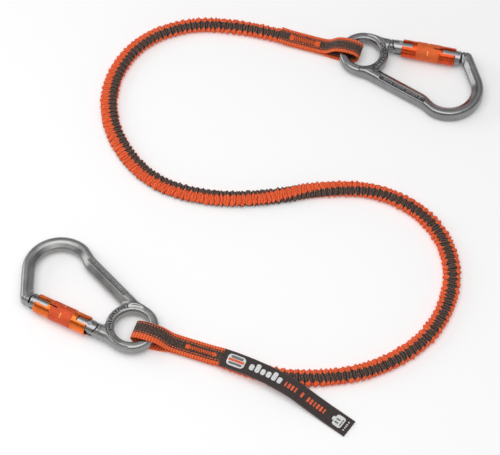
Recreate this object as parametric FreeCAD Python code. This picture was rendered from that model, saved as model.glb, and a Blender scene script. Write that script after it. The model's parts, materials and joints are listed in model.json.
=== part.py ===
"""Shock absorbing tool lanyard: an elastic webbing cord with a twist-lock carabiner sewn in at each end.

Units are millimetres. The lanyard lies on its surface at z = 0, with +Z up. End A carries the label.
A carabiner is modelled in its own frame: the eye's centre at the origin, +X along the gate from its
hinge to its nose, +Y from the eye towards the gate, and +Z out of the carabiner's plane.
A strap is modelled in its own frame: +X along it from the eye's centre outwards, and +Z up.
"""

import FreeCAD
import Part
import math
import os

from FreeCAD import Placement, Rotation, Vector

# Carabiner body: an eye, a straight gate arm, a spine, a round bow and a nose.
HOLE_R = 11.5
RING_R = 18.2
RING_T = 8.4
RING_INNER_ROUND = 2.6
RING_OUTER_ROUND = 2.2
BODY_T = 10.0
EDGE_CHAMFER = 2.6
ARM_HALF = 4.6
WEB_ROUND = 4.0
BOW_X, BOW_Y = 66.1, -17.0
BOW_OUTER_R, BOW_INNER_R = 25.9, 17.2
OUTER_JOIN, INNER_JOIN = 251.0, 239.5
SPINE_ANGLE = -21.0
NOSE_ARM_ANGLE = 118.0
SPINE_MID = Vector(34.2, -25.1, 0)
SPINE_HALF = 4.65
SHOULDER_GAP = 0.4
PANEL_DEPTH = 0.7

# Gate, its hinge and its locking sleeve, all on the gate's axis.
GATE_Y = 12.2
GATE_R = 5.4
PIN_X = 25.5
PIN_R = 1.5
PIN_CLEAR = 0.05
TONGUE_T = 4.0
TONGUE_R = 4.3
TONGUE_FLAT = 3.8
SLOT_CLEAR = 0.25
GATE_END = 70.9
NOSE_FACE = 71.5
LATCH_START = 67.5
SLEEVE_START, SLEEVE_END = 26.9, 66.6
SLEEVE_BORE = 5.7
SLEEVE_R = 6.65
KNURL_R = 6.85
KNURL_START, KNURL_END = 37.6, 55.0
SLEEVE_SLOT_W = 5.2
HINGE_SLOT_END = 34.6
NOSE_SLOT_START = 57.0
SLIT_START, SLIT_W = 50.4, 1.1
BORE_R = 1.9
BORE_START, BORE_END = PIN_X + 5.0, 46.0
PLUNGER_GAP = 0.17
PLUNGER_L = 6.0
TORSION_START, TORSION_END = 47.5, 56.5
TORSION_FLOOR_R = 4.2
GUIDE_X = 60.5
GUIDE_R = 0.8
GUIDE_TRAVEL = 90.0

# Where each carabiner's eye is, which way its gate points, and which way its strap leaves the eye.
SLEEVE_REST = 6.85
BODY_TILT = 2.0
EYE_A, GATE_ANGLE_A, STRAP_ANGLE_A = (-86.4, -89.6), 152.9, 341.0
EYE_B, GATE_ANGLE_B, STRAP_ANGLE_B = (76.9, 141.3), -13.0, 161.8

# Webbing: the loop through the eye, the sewn end, and the elastic cord between the two ends.
STRAP_W = 13.4
STRAP_T = 1.5
BEND_U = 33.5
BEND_GAP = 1.3
SEWN_END = 61.5
SEWN_MID_Z = 3.35
LAYER_GAP = 0.1
STITCH_ROWS = 4
STITCH_COUNT = 13
THREAD = 0.45
CORD_W = 11.8
CORD_H = 5.6
CORD_Z = 2.95
JACKET_WALL = 1.0
CORE_CLEAR = 0.3

# The label, folded from a woven strip and sewn on at end A.
LABEL_W = 13.4
LABEL_T = 0.8
LABEL_PATH = [
    (-32.4, -108.9, 5.35),
    (-28.0, -110.55, 6.5),
    (-19.1, -113.9, 6.7),
    (-7.1, -119.0, 6.75),
    (5.4, -125.1, 6.75),
    (17.4, -132.4, 6.75),
    (23.9, -136.6, 5.9),
    (30.9, -141.6, 3.6),
    (42.9, -150.2, 1.3),
    (57.9, -161.5, 0.65),
]

# The cord's route between its two ends, from end B to end A.
END_RUN = 27.0
ROUTE = [
    (-51.1, 173.8),
    (-90.1, 156.9),
    (-111.1, 118.9),
    (-108.9, 75.4),
    (-82.1, 32.8),
    (-40.1, 16.3),
    (2.9, 16.6),
    (44.9, 25.8),
    (86.9, 23.6),
    (122.6, -2.4),
    (135.3, -45.2),
    (117.9, -92.1),
    (76.9, -120.2),
    (29.9, -126.9),
]


Z = Vector(0, 0, 1)
X = Vector(1, 0, 0)


def box(low, high):
    """A box from its lowest corner to its highest."""
    size = [b - a for a, b in zip(low, high)]
    return Part.makeBox(*size, Vector(*low))


def rod(radius, start, end, y=GATE_Y, z=0.0):
    """A round bar along the gate's axis, from x = start to x = end."""
    return Part.makeCylinder(radius, end - start, Vector(start, y, z), X)


def tube(inner, outer, start, end):
    """A round tube on the gate's axis."""
    return rod(outer, start, end).cut(rod(inner, start - 1, end + 1))


def upright(radius, x, y, half):
    """A round bar along z, centred on the carabiner's mid plane."""
    return Part.makeCylinder(radius, 2 * half, Vector(x, y, -half), Z)


def prism(wire, thickness):
    """A plate of that outline, centred on the mid plane."""
    face = Part.Face(wire)
    face.translate(Vector(0, 0, -thickness / 2))
    return face.extrude(Vector(0, 0, thickness))


def rounded(solid, radius, near):
    """solid with its upright edges near those (x, y) places rounded."""
    edges = []
    for edge in solid.Edges:
        ends = [v.Point for v in edge.Vertexes]
        if len(ends) == 2 and abs(ends[0].z - ends[1].z) > BODY_T / 2:
            if any(math.hypot(ends[0].x - x, ends[0].y - y) < 0.3 for x, y in near):
                edges.append(edge)
    return solid.makeFillet(radius, edges)


def softened(solid, size, half):
    """solid with the edges of its top and bottom faces chamfered."""
    edges = []
    for edge in solid.Edges:
        box_of = edge.BoundBox
        if box_of.ZLength < 1e-6 and abs(abs(box_of.ZMin) - half) < 1e-6:
            edges.append(edge)
    return solid.makeChamfer(size, edges)


def tangent_path(points, sharpest=None):
    """Straight runs joined by tangent arcs, and the arcs' radii. Each arc uses 0.45 of its shorter run."""
    edges, radii, here = [], [], points[0]
    for before, corner, after in zip(points, points[1:], points[2:]):
        back, ahead = before - corner, after - corner
        shorter = min(back.Length, ahead.Length)
        back.normalize()
        ahead.normalize()
        turn = math.pi - back.getAngle(ahead)
        reach = 0.45 * shorter
        radius = reach / math.tan(turn / 2)
        start, end = corner + back * reach, corner + ahead * reach
        middle = back + ahead
        middle.normalize()
        middle = corner + middle * (radius / math.cos(turn / 2) - radius)
        edges.append(Part.LineSegment(here, start).toShape())
        edges.append(Part.Arc(start, middle, end).toShape())
        radii.append(round(radius, 1))
        here = end
    edges.append(Part.LineSegment(here, points[-1]).toShape())
    return Part.Wire(edges), radii


def stadium(width, height, place):
    """A flat oval outline, width across and height up, centred on place, in the y-z plane."""
    half, radius = (width - height) / 2, height / 2
    a, b = Vector(0, -half, radius), Vector(0, half, radius)
    c, d = Vector(0, half, -radius), Vector(0, -half, -radius)
    edges = [
        Part.LineSegment(a, b).toShape(),
        Part.Arc(b, Vector(0, half + radius, 0), c).toShape(),
        Part.LineSegment(c, d).toShape(),
        Part.Arc(d, Vector(0, -half - radius, 0), a).toShape(),
    ]
    wire = Part.Wire(edges)
    wire.Placement = place
    return wire


def oblong(width, height, place):
    """A rectangular outline, width across and height up, centred on place, in the y-z plane."""
    y, z = width / 2, height / 2
    corners = [Vector(0, -y, -z), Vector(0, y, -z), Vector(0, y, z), Vector(0, -y, z), Vector(0, -y, -z)]
    wire = Part.makePolygon(corners)
    wire.Placement = place
    return wire


def swept(outline, path, across):
    """The solid that outline sweeps along path, keeping its width along the across direction."""
    shell = Part.BRepOffsetAPI.MakePipeShell(path)
    shell.setBiNormalMode(across)
    shell.add(outline)
    shell.build()
    shell.makeSolid()
    return shell.shape()


# ---------------------------------------------------------------- carabiner


def spine_point(along, across):
    """A point on the spine, measured from its middle along it and across it towards the gate."""
    angle = math.radians(SPINE_ANGLE)
    ahead = Vector(math.cos(angle), math.sin(angle), 0)
    side = Vector(-ahead.y, ahead.x, 0)
    return SPINE_MID + ahead * along + side * across


def bow_point(radius, degrees):
    angle = math.radians(degrees)
    return Vector(BOW_X + radius * math.cos(angle), BOW_Y + radius * math.sin(angle), 0)


def main_bar():
    """The spine, the bow and the nose as one bar, with softened edges."""
    leave = NOSE_ARM_ANGLE - 90
    arm = math.radians(NOSE_ARM_ANGLE)
    rise = Vector(math.cos(arm), math.sin(arm), 0)
    nose_top, nose_foot = GATE_Y + ARM_HALF - 0.2, GATE_Y - ARM_HALF + 0.6
    outer_leave, inner_leave = bow_point(BOW_OUTER_R, leave), bow_point(BOW_INNER_R, leave)
    elbow = outer_leave + rise * ((nose_top - outer_leave.y) / rise.y)
    armpit = inner_leave + rise * ((nose_foot - inner_leave.y) / rise.y)
    outer_join, inner_join = bow_point(BOW_OUTER_R, OUTER_JOIN), bow_point(BOW_INNER_R, INNER_JOIN)
    outer_bend, inner_bend = spine_point(17.6, -SPINE_HALF), spine_point(16.8, SPINE_HALF)
    outer_root, inner_root = spine_point(-34, -SPINE_HALF), spine_point(-28, SPINE_HALF)
    past = NOSE_FACE - 12
    edges = [
        Part.LineSegment(outer_root, outer_bend).toShape(),
        Part.LineSegment(outer_bend, outer_join).toShape(),
        Part.Arc(outer_join, bow_point(BOW_OUTER_R, 320), outer_leave).toShape(),
        Part.LineSegment(outer_leave, elbow).toShape(),
        Part.LineSegment(elbow, Vector(past, nose_top, 0)).toShape(),
        Part.LineSegment(Vector(past, nose_top, 0), Vector(past, nose_foot, 0)).toShape(),
        Part.LineSegment(Vector(past, nose_foot, 0), armpit).toShape(),
        Part.LineSegment(armpit, inner_leave).toShape(),
        Part.Arc(inner_leave, bow_point(BOW_INNER_R, 320), inner_join).toShape(),
        Part.LineSegment(inner_join, inner_bend).toShape(),
        Part.LineSegment(inner_bend, inner_root).toShape(),
        Part.LineSegment(inner_root, outer_root).toShape(),
    ]
    bar = prism(Part.Wire(edges), BODY_T)
    bar = rounded(bar, 6.0, [(elbow.x, elbow.y)])
    bends = [(p.x, p.y) for p in (outer_bend, inner_bend, outer_join, inner_join)]
    bar = rounded(bar, 7.0, bends)
    bar = softened(bar, EDGE_CHAMFER, BODY_T / 2)
    return bar.cut(box((past - 1, nose_foot - 4, -9), (NOSE_FACE, nose_top + 4, 9)))


def gate_arm():
    """The straight arm between the eye and the gate's hinge, with a round web where it meets the eye."""
    low, high, round_r = GATE_Y - ARM_HALF, GATE_Y + ARM_HALF, WEB_ROUND
    centre = Vector(math.sqrt((RING_R + round_r) ** 2 - (low - round_r) ** 2), low - round_r, 0)
    foot = centre * (RING_R / (RING_R + round_r))
    heading = math.radians(135)
    middle = centre + Vector(math.cos(heading), math.sin(heading), 0) * round_r
    knee = Vector(centre.x, low, 0)
    past = PIN_X + 6
    corners = [knee, Vector(past, low, 0), Vector(past, high, 0), Vector(PIN_X - 6, high, 0)]
    corners += [Vector(0, RING_R - 0.2, 0), Vector(0, foot.y, 0), foot]
    edges = [Part.LineSegment(a, b).toShape() for a, b in zip(corners, corners[1:])]
    edges.append(Part.Arc(foot, middle, knee).toShape())
    arm = softened(prism(Part.Wire(edges), BODY_T), 2.2, BODY_T / 2)
    return arm.cut(box((PIN_X, 0, -9), (past + 1, 30, 9)))


def eye_ring():
    """The eye as a ring with rounded edges."""
    half = RING_T / 2
    inner, outer = RING_INNER_ROUND, RING_OUTER_ROUND
    sin45 = math.sqrt(0.5)

    def corner(x_centre, z_centre, radius, sign_x, sign_z):
        """A round at one corner of the ring's section, from its flat side to its upright side."""
        return Part.Arc(
            Vector(x_centre, 0, z_centre + sign_z * radius),
            Vector(x_centre + sign_x * radius * sin45, 0, z_centre + sign_z * radius * sin45),
            Vector(x_centre + sign_x * radius, 0, z_centre),
        ).toShape()

    xi, xo, zi, zo = HOLE_R + inner, RING_R - outer, half - inner, half - outer
    edges = [
        Part.LineSegment(Vector(xi, 0, half), Vector(xo, 0, half)).toShape(),
        corner(xo, zo, outer, 1, 1),
        Part.LineSegment(Vector(RING_R, 0, zo), Vector(RING_R, 0, -zo)).toShape(),
        corner(xo, -zo, outer, 1, -1),
        Part.LineSegment(Vector(xo, 0, -half), Vector(xi, 0, -half)).toShape(),
        corner(xi, -zi, inner, -1, -1),
        Part.LineSegment(Vector(HOLE_R, 0, -zi), Vector(HOLE_R, 0, zi)).toShape(),
        corner(xi, zi, inner, -1, 1),
    ]
    section = Part.Face(Part.Wire(Part.__sortEdges__(edges)))
    return section.revolve(Vector(0, 0, 0), Z, 360)


def spine_panel(side):
    """The long shallow recess in one face of the spine."""
    length, half = 15.0, 1.7
    ends = [spine_point(-length, -0.6), spine_point(length, -0.6)]
    blocks = []
    for end in ends:
        blocks.append(Part.makeCylinder(half, PANEL_DEPTH + 1, end, Z))
    middle = box((-length, -half, 0), (length, half, PANEL_DEPTH + 1))
    place = Placement(SPINE_MID, Rotation(Z, SPINE_ANGLE))
    middle.Placement = place.multiply(Placement(Vector(0, -0.6, 0), Rotation()))
    panel = middle.fuse(blocks)
    level = BODY_T / 2 - PANEL_DEPTH if side > 0 else -BODY_T / 2 - 1
    panel.translate(Vector(0, 0, level))
    return panel.removeSplitter()


def carabiner_body():
    ring_zone = upright(RING_R - 0.9, 0, 0, BODY_T)
    arms = main_bar().cut(ring_zone)
    arm = gate_arm().cut(ring_zone)
    reach = GATE_R + SHOULDER_GAP
    arm = arm.cut(upright(reach, PIN_X, GATE_Y, BODY_T))
    body = eye_ring().fuse([arms, arm])
    neck = box((RING_R - 3, GATE_Y - TONGUE_R, -TONGUE_T / 2), (PIN_X, GATE_Y + TONGUE_R, TONGUE_T / 2))
    disc = upright(TONGUE_R, PIN_X, GATE_Y, TONGUE_T / 2)
    beyond = box((PIN_X + TONGUE_FLAT, 0, -5), (PIN_X + 9, 30, 5))
    tongue = neck.fuse(disc).cut(beyond)
    latch_half = TONGUE_T / 2
    latch = box((LATCH_START, GATE_Y - 2.6, -latch_half), (NOSE_FACE + 2, GATE_Y + 4.4, latch_half))
    body = body.fuse([tongue, latch]).cut(upright(PIN_R + PIN_CLEAR, PIN_X, GATE_Y, BODY_T))
    body = body.cut([spine_panel(1), spine_panel(-1)])
    return body.removeSplitter()


def gate():
    """The gate: a round rod with a rounded hinge end, slots for the hinge tongue and for the latch."""
    bar = rod(GATE_R, PIN_X - GATE_R, GATE_END)
    tip = [e for e in bar.Edges if abs(e.BoundBox.XMin - GATE_END) < 1e-6 and e.BoundBox.XLength < 1e-6]
    bar = bar.makeChamfer(0.7, tip)
    hinge_end = box((PIN_X - 9, 0, -9), (PIN_X, 30, 9)).cut(upright(GATE_R, PIN_X, GATE_Y, 10))
    slot_half = TONGUE_T / 2 + SLOT_CLEAR
    hinge_slot = box((PIN_X - 9, 0, -slot_half), (BORE_START, 30, slot_half))
    latch_slot = box((LATCH_START - 0.6, GATE_Y - 2.9, -slot_half), (GATE_END + 1, 30, slot_half))
    groove = tube(TORSION_FLOOR_R, GATE_R + 1, TORSION_START, TORSION_END)
    tip_groove = tube(GATE_R - 0.4, GATE_R + 1, GATE_END - 2.6, GATE_END - 2.0)
    guide_hole = Part.makeCylinder(GUIDE_R, 3.0, Vector(GUIDE_X, GATE_Y, -3.0), Vector(0, 0, -1))
    cuts = [hinge_end, hinge_slot, latch_slot, groove, tip_groove, guide_hole]
    cuts += [rod(BORE_R, BORE_START - 1, BORE_END), upright(PIN_R, PIN_X, GATE_Y, 10)]
    return bar.cut(cuts).removeSplitter()


def hinge_pin():
    """The rivet that the gate turns with, its heads flush with the gate."""
    return upright(PIN_R, PIN_X, GATE_Y, GATE_R - 0.15)


def gate_plunger():
    """The pin that the gate spring presses against the hinge tongue."""
    start = PIN_X + TONGUE_FLAT + PLUNGER_GAP
    head = rod(BORE_R - 0.3, start, start + PLUNGER_L)
    tail = rod(0.8, start + PLUNGER_L, start + PLUNGER_L + 3)
    return head.fuse(tail).removeSplitter()


def coil(radius, wire_r, start, end, turns):
    """A coil spring on the gate's axis, made of tilted half turns."""
    step = (end - start - 2 * wire_r) / turns / 4
    ways = [Vector(1, 0, 0), Vector(0, 1, 0), Vector(-1, 0, 0), Vector(0, -1, 0)]

    def at(quarter):
        return ways[quarter % 4] * radius + Z * (quarter * step)

    halves = [Part.Arc(at(k), at(k + 1), at(k + 2)).toShape() for k in range(0, 4 * turns, 2)]
    section = Part.Face(Part.Wire(Part.makeCircle(wire_r, at(0), ways[1])))
    spring = Part.Wire(halves).makePipe(section)
    spring.Placement = Placement(Vector(start + wire_r, GATE_Y, 0), Rotation(Vector(0, 1, 0), 90))
    return spring


def gate_spring():
    start = PIN_X + TONGUE_FLAT + PLUNGER_GAP + PLUNGER_L
    return coil(1.3, 0.25, start, BORE_END, 11)


def sleeve_spring():
    return coil(4.95, 0.45, TORSION_START + 0.2, TORSION_END - 0.2, 5)


def guide_pin():
    """The small pin in the gate that keeps the sleeve in place and stops its turn."""
    return Part.makeCylinder(GUIDE_R, 3.0, Vector(GUIDE_X, GATE_Y, -3.0), Vector(0, 0, -1))


def locking_sleeve():
    """The sleeve: smooth ends, a wider grip band, a slot at each end and a groove for the guide pin."""
    body = rod(SLEEVE_R, SLEEVE_START, SLEEVE_END)
    ends = [e for e in body.Edges if e.BoundBox.XLength < 1e-6]
    body = body.makeChamfer(0.45, ends)
    grip = rod(KNURL_R, KNURL_START, KNURL_END)
    body = body.fuse(grip).cut(rod(SLEEVE_BORE, SLEEVE_START - 1, SLEEVE_END + 1))
    half = SLEEVE_SLOT_W / 2
    hinge_slot = box((SLEEVE_START - 1, GATE_Y - half, 0), (HINGE_SLOT_END, GATE_Y + half, 9))
    nose_slot = box((NOSE_SLOT_START, GATE_Y - half, 0), (SLEEVE_END + 1, GATE_Y + half, 9))
    slit = box((SLIT_START, GATE_Y - SLIT_W / 2, 0), (NOSE_SLOT_START + 1, GATE_Y + SLIT_W / 2, 9))
    body = body.cut([hinge_slot, nose_slot, slit])
    return body.cut(guide_groove()).removeSplitter()


def guide_groove():
    """The part-turn groove in the sleeve's bore that the guide pin runs in."""
    low, high = GUIDE_X - GUIDE_R - 0.15, GUIDE_X + GUIDE_R + 0.15
    corners = [Vector(low, 0, 5.2), Vector(high, 0, 5.2), Vector(high, 0, 6.15), Vector(low, 0, 6.15)]
    face = Part.Face(Part.makePolygon(corners + corners[:1]))
    spare = 10.0
    face.rotate(Vector(0, 0, 0), X, 180 - spare)
    groove = face.revolve(Vector(0, 0, 0), X, GUIDE_TRAVEL + 2 * spare)
    groove.translate(Vector(0, GATE_Y, 0))
    return groove


CARABINER = {
    "carabiner_body": carabiner_body,
    "gate": gate,
    "hinge_pin": hinge_pin,
    "gate_plunger": gate_plunger,
    "gate_spring": gate_spring,
    "locking_sleeve": locking_sleeve,
    "sleeve_spring": sleeve_spring,
    "guide_pin": guide_pin,
}


def carabiner_place(eye, gate_angle):
    """Where a carabiner lies: it rests on its sleeve and its bow, so it leans a little towards the bow."""
    height = SLEEVE_REST - GATE_Y * math.sin(math.radians(BODY_TILT))
    turn = Placement(Vector(eye[0], eye[1], height), Rotation(Z, gate_angle))
    return turn.multiply(Placement(Vector(0, 0, 0), Rotation(X, BODY_TILT)))


# ------------------------------------------------------------------ webbing


def strap_place(eye, angle):
    return Placement(Vector(eye[0], eye[1], 0), Rotation(Z, angle))


def strap_point(eye, angle, along):
    """The middle of the cord at that distance from an eye, along its strap."""
    heading = math.radians(angle)
    return Vector(eye[0] + along * math.cos(heading), eye[1] + along * math.sin(heading), CORD_Z)


def eye_loop():
    """The open loop of webbing through the eye, from the sewn end round the bar and back."""
    top = SEWN_MID_Z + (STRAP_T + LAYER_GAP) / 2
    bottom = SEWN_MID_Z - (STRAP_T + LAYER_GAP) / 2
    start = BEND_U - BEND_GAP
    points = [
        (start, top),
        (27.5, top + 0.7),
        (21.0, 10.9),
        (13.5, 12.7),
        (5.0, 11.6),
        (0.8, 6.4),
        (4.4, 1.6),
        (14.0, 0.95),
        (22.5, 1.0),
        (28.0, bottom - 0.15),
        (start, bottom),
    ]
    path = tangent_path([Vector(u, 0, w) for u, w in points])[0]
    outline = oblong(STRAP_W, STRAP_T, Placement(Vector(start, 0, top), Rotation()))
    return swept(outline, path, Vector(0, 1, 0))


def sewn_end():
    """The two layers of webbing that are sewn together, the lower one a little longer."""
    start, half = BEND_U + BEND_GAP, STRAP_W / 2
    middle, gap = SEWN_MID_Z, LAYER_GAP / 2
    upper = box((start, -half, middle + gap), (SEWN_END, half, middle + gap + STRAP_T))
    lower = box((start, -half, middle - gap - STRAP_T), (SEWN_END - 0.6, half, middle - gap))
    return Part.makeCompound([upper, lower])


def stitching():
    """Rows of thread through both layers, each stitch a flat loop with a bar above and a bar below."""
    start, end = BEND_U + 4.5, SEWN_END - 6.5
    pitch = (end - start) / STITCH_COUNT
    top, bottom = SEWN_MID_Z + STRAP_T + 0.35, SEWN_MID_Z - STRAP_T - 0.35
    stitches = []
    for row in range(STITCH_ROWS):
        v = (row - (STITCH_ROWS - 1) / 2) * 2.1
        for number in range(STITCH_COUNT):
            u = start + number * pitch
            outer = box((u, v - THREAD / 2, bottom), (u + pitch * 0.8, v + THREAD / 2, top))
            inner = box((u + THREAD, v - 1, bottom + THREAD), (u + pitch * 0.8 - THREAD, v + 1, top - THREAD))
            stitches.append(outer.cut(inner))
    return Part.makeCompound(stitches)


def label():
    """The folded label: it starts on the sewn end, lies over the cord, then drops to the surface."""
    points = [Vector(*point) for point in LABEL_PATH]
    sections = []
    for number, point in enumerate(points):
        before, after = points[max(number - 1, 0)], points[min(number + 1, len(points) - 1)]
        heading = math.degrees(math.atan2(after.y - before.y, after.x - before.x))
        place = Placement(point, Rotation(Z, heading))
        sections.append(oblong(LABEL_W, LABEL_T, place))
    return Part.makeLoft(sections, True, True)


def cord_solid(width, height, path, first, second, name):
    """A flat oval bar along the cord's path, and a printed check of its volume."""
    heading = math.degrees(math.atan2(second.y - first.y, second.x - first.x))
    solid = swept(stadium(width, height, Placement(first, Rotation(Z, heading))), path, Z)
    section = (width - height) * height + math.pi * height**2 / 4
    print(name, "volume", round(solid.Volume), "section times length", round(section * path.Length))
    return solid


def cord():
    """The webbing jacket, hollow along its whole length, and the flat elastic core inside it."""
    starts = [strap_point(EYE_B, STRAP_ANGLE_B, along) for along in (SEWN_END, SEWN_END + END_RUN)]
    ends = [strap_point(EYE_A, STRAP_ANGLE_A, along) for along in (SEWN_END + END_RUN, SEWN_END)]
    points = starts + [Vector(x, y, CORD_Z) for x, y in ROUTE] + ends
    path, radii = tangent_path(points)
    print("cord length", round(path.Length, 1), "radii", radii)
    runs = [round((b - a).Length) for a, b in zip(points, points[1:])]
    print("runs", runs)
    outer = cord_solid(CORD_W, CORD_H, path, points[0], points[1], "jacket outside")
    wall = 2 * JACKET_WALL
    inner = cord_solid(CORD_W - wall, CORD_H - wall, path, points[0], points[1], "jacket inside")
    clear = wall + 2 * CORE_CLEAR
    core = cord_solid(CORD_W - clear, CORD_H - clear, path, points[0], points[1], "core")
    return outer.cut(inner), core


def main():
    os.makedirs("parts", exist_ok=True)
    shapes = {}
    ends = {"a": (EYE_A, GATE_ANGLE_A, STRAP_ANGLE_A), "b": (EYE_B, GATE_ANGLE_B, STRAP_ANGLE_B)}
    pieces = {name: make() for name, make in CARABINER.items()}
    for end, (eye, gate_angle, strap_angle) in ends.items():
        place = carabiner_place(eye, gate_angle)
        for name, shape in pieces.items():
            placed = shape.copy()
            placed.Placement = place.multiply(shape.Placement)
            shapes[f"{name}_{end}"] = placed
        for name, make in (("eye_loop", eye_loop), ("sewn_end", sewn_end), ("stitching", stitching)):
            shape = make()
            shape.Placement = strap_place(eye, strap_angle).multiply(shape.Placement)
            shapes[f"{name}_{end}"] = shape
    shapes["label"] = label()
    shapes["cord_jacket"], shapes["elastic_core"] = cord()
    for name, shape in shapes.items():
        shape.exportStep(f"parts/{name}.step")
    return shapes


if __name__ == "__main__":
    main()
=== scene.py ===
"""Looks of the shock absorbing tool lanyard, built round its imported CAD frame.

Shapes are worked out in millimetres, and every mesh is stored in metres in the row frame. A
carabiner's own frame has the eye's centre at its origin, +X along the gate from its hinge to its
nose, +Y towards the gate and +Z out of its plane. A strap's own frame has +X from the eye outwards
and +Z up.
"""

import functools
import json
import math

import bpy
import numpy as np
from mathutils import Matrix, Vector


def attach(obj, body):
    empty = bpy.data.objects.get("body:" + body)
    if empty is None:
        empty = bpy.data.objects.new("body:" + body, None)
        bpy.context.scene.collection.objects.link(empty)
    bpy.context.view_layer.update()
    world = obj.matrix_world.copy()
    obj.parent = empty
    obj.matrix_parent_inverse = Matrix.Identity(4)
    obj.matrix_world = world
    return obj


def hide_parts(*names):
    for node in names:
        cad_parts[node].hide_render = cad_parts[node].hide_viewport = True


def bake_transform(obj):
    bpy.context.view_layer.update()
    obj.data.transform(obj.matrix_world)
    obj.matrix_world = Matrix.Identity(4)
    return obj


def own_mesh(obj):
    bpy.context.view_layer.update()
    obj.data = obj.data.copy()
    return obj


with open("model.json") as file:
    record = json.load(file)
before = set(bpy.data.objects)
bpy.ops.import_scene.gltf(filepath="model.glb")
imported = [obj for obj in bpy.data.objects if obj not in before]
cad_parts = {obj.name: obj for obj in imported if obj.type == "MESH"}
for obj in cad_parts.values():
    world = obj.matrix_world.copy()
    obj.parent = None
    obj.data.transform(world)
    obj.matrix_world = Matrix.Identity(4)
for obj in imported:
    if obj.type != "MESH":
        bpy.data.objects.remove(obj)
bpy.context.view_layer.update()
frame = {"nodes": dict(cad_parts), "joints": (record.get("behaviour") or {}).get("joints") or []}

MM = 0.001
JOINTS = {joint["name"]: joint for joint in frame["joints"]}
ENDS = ("a", "b")
random = np.random.default_rng(11)

# The cord's route from end B to end A, in metres. The last point but one is 3.4 mm from the CAD
# source's, and the others are its own.
CORD_Z = 0.00295
ROUTE = [
    (0.01848, 0.16051), (-0.00717, 0.16894), (-0.0511, 0.1738), (-0.0901, 0.1569),
    (-0.1111, 0.1189), (-0.1089, 0.0754), (-0.0821, 0.0328), (-0.0401, 0.0163),
    (0.0029, 0.0166), (0.0449, 0.0258), (0.0869, 0.0236), (0.1226, -0.0024),
    (0.1353, -0.0452), (0.1179, -0.0921), (0.0769, -0.1202), (0.0299, -0.1269),
    (-0.0045, -0.1213), (-0.02825, -0.10962),
]
# How far the webbing has rolled about the cord at each of those points, in degrees.
ROLL = [12, 15, 27, 36, 41, 43, 45, 47, 60, 127, 160, 172, 183, 198, 208, 192, 186, 184]

# Webbing, in millimetres.
JACKET_HALF_W, JACKET_HALF_H = 5.75, 2.75
RING_STEP = 0.35
JACKET_SIDES = 48
UNDER_LABEL, LABEL_UNDERSIDE = 58.0, 6.1
STRAP_W, STRAP_T = 13.4, 1.5
SELVEDGE_R, GROOVE_AT = 0.45, 4.4
PICK_PITCH = 1.9
LOOP_SHIFT = -1.8
SEWN_END = 61.5
SEWN_MID = 3.35
# Each end's zigzag: where it starts and stops, its half width, and how far its close ends reach.
ZIGZAG = {"a": (38.5, 60.5, 1.35, 2.6), "b": (33.6, 57.0, 2.5, 3.4)}
ROW_Y, ROW_PITCH, ROW_STITCH = 3.3, 2.3, 1.5

# Carabiner, in millimetres, after the CAD source.
HOLE_R, RING_R, RING_T, RING_ROUND = 11.5, 18.2, 8.4, 2.5
BODY_T = 10.0
ARM_HALF = 4.6
BOW = (66.1, -17.0)
SPINE_ANGLE = math.radians(-21.0)
SPINE_COS, SPINE_SIN = math.cos(SPINE_ANGLE), math.sin(SPINE_ANGLE)
SPINE_MID = (34.2, -25.1)
SPINE_HALF = 4.65
SPINE_END = 34.0
NOSE_ARM_ANGLE = 118.0
GATE_Y = 12.2
PIN_X = 25.5
NOSE_FACE = 71.5
# Each edge of the bar: its radius round the bow, the angle in degrees where it joins the spine, its offset
# from the spine's middle, how far along the spine its straight part runs, and its height at the nose.
OUTER_EDGE = (25.9, 251.0, -SPINE_HALF, 17.6, GATE_Y + 4.4)
INNER_EDGE = (17.2, 239.5, SPINE_HALF, 16.8, GATE_Y - 4.0)
SPRING_START, SPRING_END = 35.5, 46.0
SPRING_R, SPRING_WIRE, SPRING_TURNS = 1.3, 0.25, 11
SLEEVE_START, SLEEVE_END, SLEEVE_BEVEL = 26.9, 66.6, 0.45
SLEEVE_BORE, SLEEVE_R, KNURL_FLOOR_R = 5.72, 6.65, 6.56
KNURL_START, KNURL_END, KNURL_FADE = 37.6, 55.0, 0.3
KNURL_PITCH, KNURL_SLANT, KNURL_HEIGHT = 1.5, 0.75, 0.34
SLOT_TURN, SLOT_STOP, SLOT_START = math.asin(2.6 / SLEEVE_R), 34.6, 57.0
SLIT_TURN, SLIT_START = math.asin(0.55 / SLEEVE_R), 50.4
DASH_X, DASH_DEGREES = 46.2, (38, 118, 218, 318)
BROW_R, BROW_MIDDLE, BROW_HALF = 16.9, 62.0, 46.0
PANEL_DEPTH, PANEL_IN = 0.85, 3.2


# ---- materials


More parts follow.
